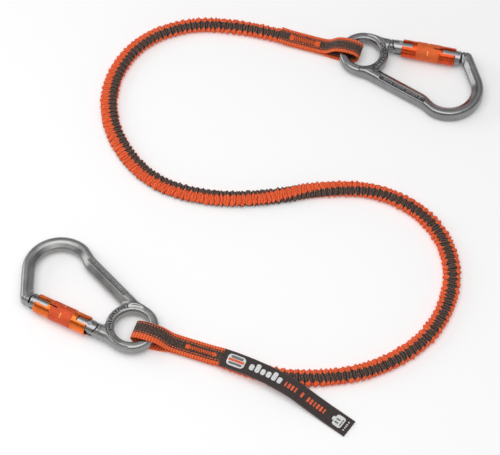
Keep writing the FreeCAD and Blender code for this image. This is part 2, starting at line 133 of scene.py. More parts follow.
class Paint:
    """A node material round one Principled shader, with short ways to add and join nodes."""

    def __init__(self, name, **constants):
        self.material = bpy.data.materials.new(name)
        self.material.use_nodes = True
        self.tree = self.material.node_tree
        self.shader = self.tree.nodes["Principled BSDF"]
        self.set(**constants)

    def join(self, node, socket, value):
        if isinstance(value, bpy.types.NodeSocket):
            self.tree.links.new(value, node.inputs[socket])
        else:
            node.inputs[socket].default_value = value

    def set(self, **values):
        for name, value in values.items():
            self.join(self.shader, name.replace("_", " "), value)

    def add(self, kind, inputs=(), **settings):
        node = self.tree.nodes.new("ShaderNode" + kind)
        for name, value in settings.items():
            setattr(node, name, value)
        for socket, value in dict(inputs).items():
            self.join(node, socket, value)
        return node

    def math(self, operation, first, second=0.0):
        return self.add("Math", {0: first, 1: second}, operation=operation).outputs[0]

    def wave(self, place, pitch):
        """A sine that repeats every pitch of place."""
        return self.math("SINE", self.math("MULTIPLY", place, math.tau / pitch))

    def mix(self, factor, first, second):
        node = self.add("Mix", {"Factor": factor}, data_type="RGBA")
        self.join(node, 6, first)
        self.join(node, 7, second)
        return node.outputs[2]

    def spread(self, value, low, high, to_low=0.0, to_high=1.0):
        """value from low..high to to_low..to_high, smoothly and clamped."""
        inputs = {"Value": value, "From Min": low, "From Max": high, "To Min": to_low, "To Max": to_high}
        return self.add("MapRange", inputs, interpolation_type="SMOOTHSTEP").outputs[0]

    def noise(self, scale, detail=2.0, stretch=None, vector=None):
        where = vector if vector is not None else self.add("TexCoord").outputs["Object"]
        if stretch is not None:
            where = self.add("Mapping", {"Vector": where, "Scale": stretch}).outputs[0]
        return self.add("TexNoise", {"Vector": where, "Scale": scale, "Detail": detail}).outputs[0]

    def attribute(self, name):
        return self.add("Attribute", attribute_name=name).outputs["Fac"]

    def cloth(self):
        """The webbing's map in millimetres, and its two coordinates: along and across."""
        uv = self.add("UVMap", uv_map="cloth").outputs[0]
        parts = self.add("SeparateXYZ", {0: uv})
        return uv, parts.outputs[0], parts.outputs[1]

    def bump(self, height, distance, strength=1.0):
        node = self.add("Bump", {"Height": height, "Distance": distance, "Strength": strength})
        self.set(Normal=node.outputs[0])


ORANGE = (0.83, 0.100, 0.020, 1)
ORANGE_LIGHT = (0.92, 0.190, 0.045, 1)
ORANGE_RED = (0.74, 0.066, 0.016, 1)
# Painted shade for the orange webbing, in its folds and the weave's troughs.
ORANGE_SHADE = (0.40, 0.022, 0.008, 1)
BROWN = (0.070, 0.039, 0.030, 1)
BROWN_LIGHT = (0.185, 0.110, 0.080, 1)
# Painted shade for the brown webbing, in its folds and the weave's troughs.
BROWN_SHADE = (0.009, 0.006, 0.005, 1)
MOST = (0.3, 0.7)  # nearly all of a noise texture's values lie between these


def webbing_paint(name):
    return Paint(name, Roughness=0.9, Sheen_Weight=0.06, Sheen_Roughness=0.5)


def opaque(tone, share=1.0):
    """A tone, share as bright, with full alpha."""
    return tuple(share * part for part in tone) + (1,)


def alloy(name, tone, roughness, pit_shade_share=None):
    """Tumbled aluminium: cloudy roughness, fine grain, darker scuffs, and, given a share, painted shade in
    the recesses, that share as bright.
    """
    paint = Paint(name, Metallic=1.0)
    cloud = paint.noise(90.0, 4.0)
    grain = paint.noise(2600.0, 2.0)
    scuff = paint.spread(paint.noise(420.0, 6.0), 0.60, 0.72)
    colour = paint.mix(paint.spread(cloud, *MOST), opaque(tone, 0.84), opaque(tone))
    colour = paint.mix(paint.math("MULTIPLY", scuff, 0.5), colour, opaque(tone, 0.62))
    rough = paint.spread(cloud, *MOST, roughness - 0.06, roughness + 0.07)
    rough = paint.math("ADD", rough, paint.math("MULTIPLY", scuff, 0.12))
    if pit_shade_share is not None:
        # Painted shade: the spine's panel and the brow's groove are darkened, as shade falls in them.
        pit_shade = paint.attribute("pit_shade")
        colour = paint.mix(pit_shade, colour, opaque(tone, pit_shade_share))
        rough = paint.math("ADD", rough, paint.math("MULTIPLY", pit_shade, 0.2))
    paint.set(Base_Color=colour)
    paint.set(Roughness=rough)
    paint.bump(paint.math("ADD", grain, paint.math("MULTIPLY", cloud, 1.5)), 0.00006, 0.35)
    return paint.material


def anodised(name, tone, roughness, knurled):
    """Orange anodised aluminium. A knurled grip is duller, with painted shade in its pits and a painted
    highlight on its crests.
    """
    paint = Paint(name, Metallic=0.6 if knurled else 0.9)
    cloud = paint.noise(160.0, 3.0)
    colour = paint.mix(paint.spread(cloud, *MOST), opaque(tone, 0.72), opaque(tone))
    if knurled:
        crest = paint.attribute("crest")
        # Painted shade in the knurl's pits; a pale orange painted highlight on its crests, the same pale
        # orange colouring the dashes.
        pit_shade = (tone[0] * 0.62, tone[1] * 0.46, tone[2] * 0.5, 1)
        dash_and_glint = (1.0, 0.45, 0.14, 1)
        colour = paint.mix(paint.spread(crest, 0.05, 0.55), pit_shade, colour)
        colour = paint.mix(paint.math("MULTIPLY", paint.spread(crest, 0.80, 1.0), 0.35), colour, dash_and_glint)
        colour = paint.mix(paint.attribute("dash_and_glint"), colour, dash_and_glint)
    paint.set(Base_Color=colour)
    haze = paint.noise(500.0, 4.0)
    paint.set(Roughness=paint.spread(haze, *MOST, roughness - 0.04, roughness + 0.08))
    paint.bump(paint.noise(1800.0, 2.0), 0.00003, 0.3)
    return paint.material


def steel(name, tone, roughness):
    paint = Paint(name, Metallic=1.0)
    cloud = paint.noise(700.0, 3.0)
    paint.set(Base_Color=paint.mix(cloud, opaque(tone, 0.7), opaque(tone)))
    paint.set(Roughness=paint.spread(cloud, *MOST, roughness, roughness + 0.15))
    paint.bump(paint.noise(4000.0, 2.0), 0.00002, 0.3)
    return paint.material


def gathered(name):
    """The jacket's webbing: orange with a brown stripe down each face, with painted shade down in its
    folds.
    """
    paint = webbing_paint(name)
    uv = paint.cloth()[0]
    crest = paint.attribute("crest")
    yarn = paint.noise(1.15, 3.0, (1.0, 1.3, 1.0), uv)
    fine = paint.noise(3.2, 2.0, (1.0, 0.6, 1.0), uv)
    stripe = paint.math("ADD", paint.attribute("stripe"), paint.spread(fine, 0.2, 0.8, -0.04, 0.04))
    orange = paint.mix(paint.spread(yarn, 0.40, 0.64), ORANGE_RED, ORANGE_LIGHT)
    # Painted shade: darker where crest is low, down in the folds.
    orange = paint.mix(paint.spread(crest, 0.10, 0.62, 0.9, 0.0), orange, ORANGE_SHADE)
    brown = paint.mix(paint.spread(yarn, 0.44, 0.66), BROWN, BROWN_LIGHT)
    brown = paint.mix(paint.spread(crest, 0.20, 0.72, 1.0, 0.0), brown, BROWN_SHADE)
    paint.set(Base_Color=paint.mix(paint.spread(stripe, 0.71, 0.77), orange, brown))
    paint.bump(paint.math("ADD", fine, paint.math("MULTIPLY", yarn, 0.7)), 0.00022, 0.7)
    return paint.material


def woven(name):
    """The flat webbing: orange selvedges, a dotted line beside each, and a heathered brown middle."""
    paint = webbing_paint(name)
    uv, along, across = paint.cloth()
    heather = paint.noise(1.2, 3.0, None, uv)
    fine = paint.noise(2.6, 2.0, None, uv)
    side = paint.math("ABSOLUTE", across)
    knit = paint.math("MULTIPLY", paint.wave(along, 1.5), paint.wave(across, 1.3))
    pick = paint.wave(along, PICK_PITCH)
    edge = paint.spread(side, 4.35, 4.5)
    line_in, line_out = paint.spread(side, 3.0, 3.15), paint.spread(side, 3.6, 3.75, 1.0, 0.0)
    line = paint.math("MULTIPLY", line_in, line_out)
    dots = paint.math("MULTIPLY", line, paint.spread(pick, 0.0, 0.3))
    orange = paint.mix(paint.spread(heather, 0.40, 0.62), ORANGE, ORANGE_LIGHT)
    # Painted shade in the weave's troughs: between the picks on the orange, between the knit's yarns in the
    # brown middle.
    orange = paint.mix(paint.spread(pick, -1.0, -0.35, 0.85, 0.0), orange, ORANGE_SHADE)
    middle = paint.mix(paint.spread(knit, -0.35, 0.35), BROWN_SHADE, BROWN)
    middle = paint.mix(paint.spread(heather, 0.50, 0.60, 0.0, 0.75), middle, BROWN_LIGHT)
    paint.set(Base_Color=paint.mix(paint.math("MAXIMUM", edge, dots), middle, orange))
    height = paint.math("ADD", paint.math("MULTIPLY", knit, 0.5), paint.math("ADD", fine, pick))
    paint.bump(height, 0.0002, 0.7)
    return paint.material


def tape(name):
    """The label's tightly woven tape: near black, with a fine rib."""
    paint = Paint(name, Roughness=0.82, Sheen_Weight=0.04, Sheen_Roughness=0.4)
    uv, along, across = paint.cloth()
    knit = paint.math("MULTIPLY", paint.wave(along, 0.55), paint.wave(across, 0.5))
    fine = paint.noise(1.2, 4.0, None, uv)
    # Painted shade: the rib is darker in its troughs.
    colour = paint.mix(paint.spread(knit, -0.8, 0.8), (0.024, 0.017, 0.016, 1), (0.048, 0.034, 0.031, 1))
    colour = paint.mix(paint.spread(fine, 0.45, 0.8), colour, (0.075, 0.055, 0.050, 1))
    side = paint.spread(paint.math("ABSOLUTE", across), 5.9, 6.5)
    colour = paint.mix(paint.math("MULTIPLY", side, 0.6), colour, (0.11, 0.09, 0.085, 1))
    paint.set(Base_Color=colour)
    paint.bump(knit, 0.00007, 0.6)
    return paint.material


def yarn_paint(name, tone, shade):
    """Thread or print: matte, with flecks of a darker shade."""
    paint = Paint(name, Roughness=0.75)
    fleck = paint.noise(1500.0, 3.0)
    paint.set(Base_Color=paint.mix(paint.spread(fleck, 0.35, 0.65), opaque(shade), opaque(tone)))
    paint.bump(paint.noise(3000.0, 2.0), 0.00005, 0.5)
    return paint.material


# ---- meshes


def grid_quads(rows, columns):
    """Quads between rings of points, all with as many columns."""
    row, column = np.meshgrid(np.arange(rows - 1), np.arange(columns), indexing="ij")
    after = (column + 1) % columns
    this, following = row * columns, (row + 1) * columns
    quads = [this + column, this + after, following + after, following + column]
    return np.stack([part.ravel() for part in quads], axis=1).tolist()


def closed_quads(rows, columns):
    """Quads between rings of points, and a face over each end."""
    ends = [range(columns)[::-1], range((rows - 1) * columns, rows * columns)]
    return grid_quads(rows, columns) + [list(end) for end in ends]


def unit(vectors):
    return vectors / np.linalg.norm(vectors, axis=1)[:, None]


def band(points, side, over, across, lift):
    """Rings of points round a line, each across and lift away from it along side and over."""
    return points[:, None, :] + across[:, :, None] * side[:, None, :] + lift[:, :, None] * over[:, None, :]


def add_object(name, data):
    thing = bpy.data.objects.new(name, data)
    bpy.context.scene.collection.objects.link(thing)
    return thing


def make_piece(name, points, faces, material, place=None, values=(), cloth=None):
    """A smooth mesh object from points in millimetres. cloth holds each point's place on the webbing."""
    mesh = bpy.data.meshes.new(name)
    points = np.reshape(points, (-1, 3)) * MM
    mesh.from_pydata(points.tolist(), [], [list(map(int, face)) for face in faces])
    if place is not None:
        mesh.transform(place)
    for value_name, value in dict(values).items():
        layer = mesh.attributes.new(value_name, "FLOAT", "POINT")
        layer.data.foreach_set("value", np.ravel(value).astype(np.float32))
    if cloth is not None:
        corners = np.empty(len(mesh.loops), np.int32)
        mesh.loops.foreach_get("vertex_index", corners)
        layer = mesh.uv_layers.new(name="cloth")
        layer.data.foreach_set("uv", np.reshape(cloth, (-1, 2)).astype(np.float32)[corners].ravel())
    mesh.polygons.foreach_set("use_smooth", [True] * len(mesh.polygons))
    mesh.materials.append(material)
    mesh.update()
    return add_object(name, mesh)


class Pile:
    """Several small solids gathered into one mesh."""

    def __init__(self):
        self.points, self.faces, self.count = [], [], 0

    def add(self, points, faces):
        self.points.append(np.asarray(points, float))
        self.faces += [[int(i) + self.count for i in face] for face in faces]
        self.count += len(points)

    def piece(self, name, material, place=None):
        return make_piece(name, np.vstack(self.points), self.faces, material, place)


def resampled(points, step):
    """Points evenly spaced along a line, their distances along it and their headings."""
    points = np.asarray(points, float)
    runs = np.linalg.norm(np.diff(points, axis=0), axis=1)
    along = np.concatenate([[0.0], np.cumsum(runs)])
    places = np.linspace(0, along[-1], max(3, int(round(along[-1] / step)) + 1))
    spaced = np.stack([np.interp(places, along, points[:, k]) for k in range(3)], axis=1)
    return spaced, places, unit(np.gradient(spaced, axis=0))


def rounded_line(points, step, spread):
    """A line through points with its corners rounded off over about spread."""
    spaced = resampled(points, step)[0]
    reach = int(3 * spread / step)
    weights = np.exp(-0.5 * (np.arange(-reach, reach + 1) * step / spread) ** 2)
    weights /= weights.sum()
    first = 2 * spaced[0] - spaced[reach:0:-1]
    last = 2 * spaced[-1] - spaced[-2 : -reach - 2 : -1]
    padded = np.vstack([first, spaced, last])
    return np.stack([np.convolve(padded[:, k], weights, "valid") for k in range(3)], axis=1)


def thread(points, radius, sides=6):
    """A round thread along points, with closed ends."""
    ahead = unit(np.gradient(points, axis=0))
    side = unit(np.cross(ahead, (0.02, 0.01, 1.0)))  # near enough upright, yet never along a stitch
    turn = np.linspace(0, math.tau, sides, endpoint=False)[None, :]
    shell = band(points, side, np.cross(side, ahead), radius * np.cos(turn), radius * np.sin(turn))
    return shell.reshape(-1, 3), closed_quads(len(points), sides)


def ease(value, low, high):
    """0 up to low, 1 from high, and smooth between them."""
    share = np.clip((value - low) / (high - low), 0, 1)
    return share * share * (3 - 2 * share)


# ---- cord


def cord_line():
    """The cord's smooth line in millimetres, read from a NURBS curve through its route."""
    curve = bpy.data.curves.new("cord_line", "CURVE")
    curve.dimensions = "3D"
    curve.resolution_u = 48
    spline = curve.splines.new("NURBS")
    spline.points.add(len(ROUTE) - 1)
    for point, (x, y) in zip(spline.points, ROUTE):
        point.co = (x, y, CORD_Z, 1)
    spline.order_u = 3
    spline.use_endpoint_u = True
    holder = bpy.data.objects.new("cord_line", curve)
    mesh = bpy.data.meshes.new_from_object(holder)
    bpy.data.objects.remove(holder)
    return np.array([vertex.co for vertex in mesh.vertices], float) / MM


def fold_profile(places, shortest, longest):
    """For each place along the cord, which fold of the webbing it lies in and how far through that fold."""
    length = places.max() + 10
    starts = np.cumsum(random.uniform(shortest, longest, int(length / shortest) + 8)) - 8
    number = np.clip(np.searchsorted(starts, places) - 1, 0, len(starts) - 2)
    return number, (places - starts[number]) / (starts[number + 1] - starts[number])


def drift(count, along, spacing):
    """count smooth random lines along the cord, each from -1 to 1."""
    length = along.max()
    knots = np.arange(0, length + 2 * spacing, spacing)
    steps = np.linspace(0, length, int(length / RING_STEP) + 2)
    lines = [np.interp(steps, knots, random.uniform(-1, 1, len(knots))) for _ in range(count)]
    return [np.interp(along, steps, line) for line in lines]


def jacket_section():
    """The jacket's flat oval section, evenly spaced from its top: places, outward directions, girth."""
    turn = np.linspace(0, math.tau, 2000)
    halves = ((JACKET_HALF_W, np.sin(turn)), (JACKET_HALF_H, np.cos(turn)))
    side, rise = (half * np.sign(wave) * np.abs(wave) ** 0.8 for half, wave in halves)
    along = np.concatenate([[0], np.cumsum(np.hypot(np.diff(side), np.diff(rise)))])
    places = np.linspace(0, along[-1], JACKET_SIDES, endpoint=False)
    side, rise = np.interp(places, along, side), np.interp(places, along, rise)
    out_side = np.roll(rise, 1) - np.roll(rise, -1)
    out_rise = np.roll(side, -1) - np.roll(side, 1)
    size = np.hypot(out_side, out_rise)
    return side, rise, out_side / size, out_rise / size, along[-1]


def make_jacket():
    """The gathered webbing that hides the elastic, pleated all along the cord."""
    centre, along, ahead = resampled(cord_line(), RING_STEP)
    left = np.cross((0, 0, 1), ahead)
    *section, girth = jacket_section()
    side, rise, out_side, out_rise = (part[None, :] for part in section)
    turn = np.linspace(0, math.tau, JACKET_SIDES, endpoint=False)[None, :]
    knots = [along[np.hypot(*(centre[:, :2] - np.array(point) / MM).T).argmin()] for point in ROUTE]
    along, length = along[:, None], along[-1]
    roll = np.radians(np.interp(along, knots, ROLL))

    # Three of these five lines are used. The other two keep the random draws after them as they are.
    wander = drift(5, along, 9.0)
    lean = 0.55 * np.sin(turn + 3 * wander[0]) + 0.4 * np.sin(2 * turn + 4 * wander[1])
    lean += 0.22 * np.sin(5 * turn + 6 * wander[2])
    fine_number, fine_share = fold_profile(along + lean, 1.25, 2.3)
    wide_number, wide_share = fold_profile(along + lean + 0.4 * np.sin(3 * turn), 2.8, 5.0)

    def uneven(number, low, high):
        """A random size for each fold, different on each of its four sides."""
        sizes = random.uniform(low, high, (number.max() + 1, 4))
        weights = np.stack([np.clip(np.cos(turn[0] - k * math.pi / 2), 0, 1) ** 2 for k in range(4)])
        return np.einsum("rck,kc->rc", sizes[number], weights)

    fine = np.sin(math.pi * fine_share) ** 0.9
    wide = 1 - np.abs(2 * wide_share - 1) ** 1.15
    edge = np.abs(np.sin(turn)) ** 3
    lift = (fine - 0.62) * uneven(fine_number, 0.5, 1.0) * (1 - 0.2 * edge)
    lift += (wide - 0.48) * uneven(wide_number, 0.5, 2.1) * (0.22 + 0.78 * edge)

    # Sewn flat at both ends, and kept under the label.
    flat = 1 - ease(along, 1.0, 10.0) + ease(along, length - 10.0, length - 1.0)
    lift = lift * (1 - 0.75 * flat)
    across = side * (1 + 0.13 * flat) + lift * out_side
    height = rise * (1 - 0.42 * flat) + 0.35 * flat + lift * out_rise
    points = centre[:, None, :] + across[:, :, None] * left[:, None, :]
    ceiling = np.where(along > length - UNDER_LABEL, LABEL_UNDERSIDE, 9.0)
    points[:, :, 2] = np.clip(points[:, :, 2] + height, 0.06, ceiling)

    stripe = np.abs(np.cos(turn - roll)) - 0.26 * (wide - 0.45) - 0.06 * (fine - 0.6)
    # crest is low down in the folds, where the paint darkens the webbing as painted shade.
    crest = np.clip(0.75 * fine + 0.25 * wide + 0.45 * (lift - 0.1), 0, 1)
    cloth = np.stack(np.broadcast_arrays(along, turn * girth / 2 / math.pi), axis=2)
    piece = make_piece(
        "cord_jacket_gathered", points, closed_quads(len(along), JACKET_SIDES), gathered("jacket_webbing"),
        values={"stripe": stripe, "crest": crest}, cloth=cloth,
    )
    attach(piece, "lanyard")
    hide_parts("cord_jacket", "elastic_core")


# ---- straps, label


def axes_matrix(origin, ahead, side, up):
    return Matrix.Translation(origin) @ Matrix((ahead, side, up)).transposed().to_4x4()


def strap_matrix(end):
    """Where a strap's own frame lies: its origin is under the eye and its side is the bend's axis."""
    side, up = Vector(JOINTS[f"strap_bend_{end}"]["axis"]).normalized(), Vector((0, 0, 1))
    eye = JOINTS[f"eye_swivel_{end}"]["pos_m"]
    return axes_matrix((eye[0], eye[1], 0), side.cross(up), side, up)


def strap_sections(along):
    """The webbing's section at each step: a ropy selvedge each side, inside it a groove, and a weave."""
    flat, corner = STRAP_W / 2 - SELVEDGE_R, np.radians([60, 20, -20, -60])
    face, edge = np.linspace(-flat, flat, 34), flat + SELVEDGE_R * np.cos(corner)
    across = np.concatenate([face, edge, -face, -edge])[None, :]
    top = np.concatenate([np.ones(34), np.sin(corner), -np.ones(34), -np.sin(corner)])[None, :]
    along, off = along[:, None], np.abs(across)
    groove = np.exp(-(((off - GROOVE_AT) / 0.22) ** 2)) * 0.2
    rope = ease(off, GROOVE_AT, GROOVE_AT + 0.8)
    wave = np.sin(math.tau * (along + 0.35 * off) / PICK_PITCH)
    weave = np.sin(math.tau * along / PICK_PITCH) * np.sin(math.tau * across / 1.6)
    lift = top * (STRAP_T / 2 - 0.1 - groove + 0.12 * rope * wave)
    lift = lift + top * 0.05 * weave * (1 - rope)
    return across * (1 + 0.022 * np.sin(math.tau * along / PICK_PITCH + 0.8)), lift


def blend_over_bend(piece):
    """Stores a piece's place in its mesh."""
    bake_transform(piece)


def make_strap(end):
    """One length of webbing: out from the stitching, round the eye and back under itself."""
    top, bottom = SEWN_MID + STRAP_T / 2 + 0.05, SEWN_MID - STRAP_T / 2 - 0.05
    way = [
        (SEWN_END + 3.4, top + 1.0), (SEWN_END + 0.5, top + 0.7), (SEWN_END - 5.0, top), (48.0, top),
        (36.0, top), (32.0, top + 0.1), (27.5, top + 0.75), (21.0, 10.7), (13.5, 12.5), (6.0, 12.2),
        (1.9, 9.6), (3.4, 5.0), (8.5, 1.5), (15.0, 0.95), (22.5, 1.0), (28.0, bottom - 0.15),
        (33.0, bottom), (46.0, bottom), (SEWN_END - 0.8, bottom),
    ]
    shift = LOOP_SHIFT if end == "a" else 0.0
    line = rounded_line([(u, shift * (1 - float(ease(u, 12.0, 32.0))), z) for u, z in way], 0.5, 1.7)
    points, along, ahead = resampled(line, 0.34)
    side = np.array([[0.0, 1.0, 0.0]])
    shell = band(points, side, np.cross(ahead, side), *strap_sections(along))
    across = shell[:, :, 1]
    cloth = np.stack([np.broadcast_to(along[:, None], across.shape), across], axis=2)
    place = strap_matrix(end)
    faces = closed_quads(*across.shape)
    piece = make_piece(f"eye_strap_{end}", shell, faces, PAINTS["webbing"], place, cloth=cloth)
    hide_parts(f"eye_loop_{end}", f"sewn_end_{end}")
    blend_over_bend(piece)


def make_stitches(end):
    """The stitching through both layers: a zigzag, closer at its ends, and a straight row each side."""
    pile = Pile()
    start, stop, width, dense = ZIGZAG[end]
    share = np.linspace(0, 1, 7)
    bulge = np.sin(math.pi * share)
    for sign in (1, -1):
        level = SEWN_MID + sign * (STRAP_T + 0.12)
        place, side, corners = start, 1, []
        while place < stop:
            near_end = min(place - start, stop - place) < dense
            swing = width * side * random.uniform(0.9, 1.08) * (1.25 if near_end and end == "a" else 1.0)
            corners.append((place, swing, level))
            place += 0.27 if near_end else 0.8
            side = -side
        corners = np.array(corners)
        for first, second in zip(corners, corners[1:]):
            path = first + (second - first) * share[:, None]
            path[:, 2] += sign * (0.22 * bulge - 0.12)
            pile.add(*thread(path, 0.3, 5))
        for row in (-ROW_Y, ROW_Y):
            for u in np.arange(start, stop - ROW_STITCH, ROW_PITCH):
                rise = level + sign * (0.2 * bulge - 0.15)
                path = np.stack([u + ROW_STITCH * share, np.full(7, row), rise], axis=1)
                pile.add(*thread(path, 0.22, 5))
    place = strap_matrix(end)
    piece = pile.piece(f"stitches_{end}", PAINTS["thread"], place)
    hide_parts(f"stitching_{end}")
    blend_over_bend(piece)


LABEL_W, LABEL_T = 13.4, 0.7
LABEL_PATH = [
    (-25.7, -111.4, 6.5), (-19.1, -113.9, 6.7), (-7.1, -119.0, 6.75),
    (5.4, -125.1, 6.75), (17.4, -132.4, 6.75), (23.9, -136.6, 5.9),
    (30.9, -141.6, 3.6), (42.9, -150.2, 1.3), (57.9, -161.5, 0.65),
]


def label_frames():
    """The label's middle line, distances along it, and its directions across and outwards."""
    points, along, ahead = resampled(rounded_line(LABEL_PATH, 0.5, 2.0), 0.5)
    side = unit(np.cross((0, 0, 1), ahead))
    return points, along, side, np.cross(ahead, side)


LABEL_FRAMES = label_frames()


def label_ripple(along, across):
    """How far the label's cloth curls and waves off its middle line, at a place along and across it."""
    share = across / (LABEL_W / 2)
    return 0.25 * share**2 * ease(along, 40, 80) + 0.12 * np.sin(along / 7.0 + 1.0) * share


def make_label():
    """The folded strip of woven tape."""
    points, along, side, over = LABEL_FRAMES
    half = LABEL_W / 2
    face = np.linspace(-half, half, 30)
    across = np.concatenate([face, -face])[None, :]
    top = np.concatenate([np.ones(30), -np.ones(30)]) * LABEL_T / 2
    top = top * (1 - 0.55 * ease(np.abs(across), half - 0.5, half))
    lift = top + label_ripple(along[:, None], across)
    shell = band(points, side, over, across, lift)
    shell[:, :, 2] = np.maximum(shell[:, :, 2], 0.05)
    cloth = np.stack(np.broadcast_arrays(along[:, None], across), axis=2)
    piece = make_piece("label_tape", shell, closed_quads(*lift.shape), PAINTS["label"], cloth=cloth)
    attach(piece, "lanyard")
    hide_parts("label")


def label_mark(pile, middle, across, length, width, corner, level=0.0):
    """A thin rounded patch on the label, at middle along it and across it. level lifts it over others."""
    points, along, side, over = LABEL_FRAMES
    corner = min(corner, length / 2 - 0.01, width / 2 - 0.01)
    quarter, step = np.divmod(np.arange(20), 5)
    angle = np.radians(90 * quarter + 22.5 * step)
    cx = (length / 2 - corner) * np.where(np.isin(quarter, (0, 3)), 1, -1)
    cy = (width / 2 - corner) * np.where(quarter < 2, 1, -1)
    outline = np.stack([cx + corner * np.cos(angle), cy + corner * np.sin(angle)], axis=1)
    rings = []
    for inset, lift in ((1.0, -0.05), (1.0, 0.07), (0.93, 0.1)):
        s, v = (np.array((middle, across)) + outline * inset).T
        here = [[np.interp(s, along, axis) for axis in line.T] for line in (points, side, over)]
        lift = LABEL_T / 2 + lift + level + label_ripple(s, v)
        rings.append(band(*np.swapaxes(here, 1, 2), v[:, None], lift[:, None])[:, 0])
    count = len(outline)
    pile.add(np.vstack(rings), grid_quads(3, count) + [list(range(2 * count, 3 * count))])


def make_label_marks():
    """Generic marks in place of print: a badge, a row of blocks, a row of dashes and a plate with bars."""
    overlay = 0.07
    marks = [
        ("white", 10.0, 0.3, 12.6, 8.6, 2.6),
        ("grey", 10.0, 2.7, 8.6, 2.0, 0.9, overlay),
        ("orange", 10.0, 0.4, 11.0, 1.9, 0.6, overlay),
        ("grey", 10.0, -2.0, 9.4, 1.7, 0.6, overlay),
    ]
    for number, size in enumerate((4.6, 6.6, 4.4, 4.6, 6.6, 4.6)):
        lean = 0.9 if size > 6 else 0.0
        marks.append(("white", 21.3 + 4.15 * number, 0.2 + lean, 3.2, size, 1.3))
    for number in range(13):
        if number not in (4, 6):
            marks.append(("orange", 47.0 + 2.58 * number, 0.1, 1.7 if number % 3 else 1.1, 3.8, 0.5))
    marks += [("white", 89.8, 0.2, 6.8, 8.4, 1.6), ("white", 85.7, 0.2, 1.8, 3.0, 0.8)]
    marks += [("grey", 88.9, across, 3.0, 1.3, 0.3, overlay) for across in (-1.4, 1.0)]
    marks += [("grey", 91.9, 0.2, 0.8, 5.6, 0.3, overlay)]
    marks += [("white", 95.6, across, 1.1, 0.9, 0.3) for across in (-3.0, -1.2, 0.2, 1.6, 3.4)]
    for name in ("white", "orange", "grey"):
        pile = Pile()
        for colour, *mark in marks:
            if colour == name:
                label_mark(pile, *mark)
        piece = pile.piece(f"label_marks_{name}", PAINTS[f"print_{name}"])
        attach(piece, "lanyard")


# ---- carabiner


def carabiner_matrix(end):
    """Where a carabiner's own frame lies, from its joints' axes."""
    swivel, twist = JOINTS[f"eye_swivel_{end}"], JOINTS[f"sleeve_twist_{end}"]
    up, ahead = Vector(swivel["axis"]).normalized(), -Vector(twist["axis"]).normalized()
    return axes_matrix(swivel["pos_m"], ahead, up.cross(ahead), up)


def spine_point(along, across):
    right, up = along * SPINE_COS - across * SPINE_SIN, along * SPINE_SIN + across * SPINE_COS
    return (SPINE_MID[0] + right, SPINE_MID[1] + up, 0.0)


def spine_place(x, y):
    """How far places lie along the spine from its middle, and across it."""
    right, up = x - SPINE_MID[0], y - SPINE_MID[1]
    return right * SPINE_COS + up * SPINE_SIN, up * SPINE_COS - right * SPINE_SIN


def edge_line(radius, join, offset, kink, level):
    """One edge of the bar, from the spine's root round the bow and up the nose arm."""
    angles = np.radians(np.linspace(join, 360 + NOSE_ARM_ANGLE - 90, 60))
    arc = [(BOW[0] + radius * math.cos(a), BOW[1] + radius * math.sin(a), 0.0) for a in angles]
    rise = np.array([math.cos(math.radians(NOSE_ARM_ANGLE)), math.sin(math.radians(NOSE_ARM_ANGLE))])
    leave = np.array(arc[-1][:2])
    elbow = leave + rise * (level - leave[1]) / rise[1]
    line = [spine_point(-SPINE_END, offset), spine_point(kink, offset)] + arc
    return rounded_line(line + [(elbow[0], elbow[1], 0.0), (50.0, level, 0.0)], 0.7, 1.9)


def side_distance(line, x, y):
    """Signed distance of each place from a line: positive on its left."""
    start, run = line[:-1, :2], np.diff(line[:, :2], axis=0)
    size = (run**2).sum(axis=1)
    best = np.full(x.shape, 1e9)
    signed = np.zeros(x.shape)
    for (sx, sy), (rx, ry), squared in zip(start, run, size):
        share = np.clip(((x - sx) * rx + (y - sy) * ry) / squared, 0, 1)
        away = np.hypot(x - sx - share * rx, y - sy - share * ry)
        turn = rx * (y - sy) - ry * (x - sx)
        nearer = away < best - 1e-9
        best = np.where(nearer, away, best)
        signed = np.where(nearer, np.where(turn > 0, away, -away), signed)
    return signed


def smooth_max(first, second, size):
    """The higher of two fields, with the edge between them rounded by size."""
    share = np.clip(0.5 + 0.5 * (first - second) / size, 0, 1)
    return second + (first - second) * share + size * share * (1 - share)


def smooth_min(first, second, size):
    return -smooth_max(-first, -second, size)


def overlap(*fields):
    """Below zero only where every field is."""
    return functools.reduce(np.maximum, fields)


def scored(body, line, depth, rounding):
    """A body with a groove of that depth in its surface wherever line is below zero."""
    return smooth_max(body, -overlap(line, -(body + depth)), rounding)


def ring_field(radius, high):
    """The eye: a rounded rectangle turned about the origin."""
    from_x = np.abs(radius - (RING_R + HOLE_R) / 2) - (RING_R - HOLE_R) / 2 + RING_ROUND
    from_z = high - RING_T / 2 + RING_ROUND
    outside = np.hypot(np.maximum(from_x, 0), np.maximum(from_z, 0))
    return outside + np.minimum(np.maximum(from_x, from_z), 0) - RING_ROUND


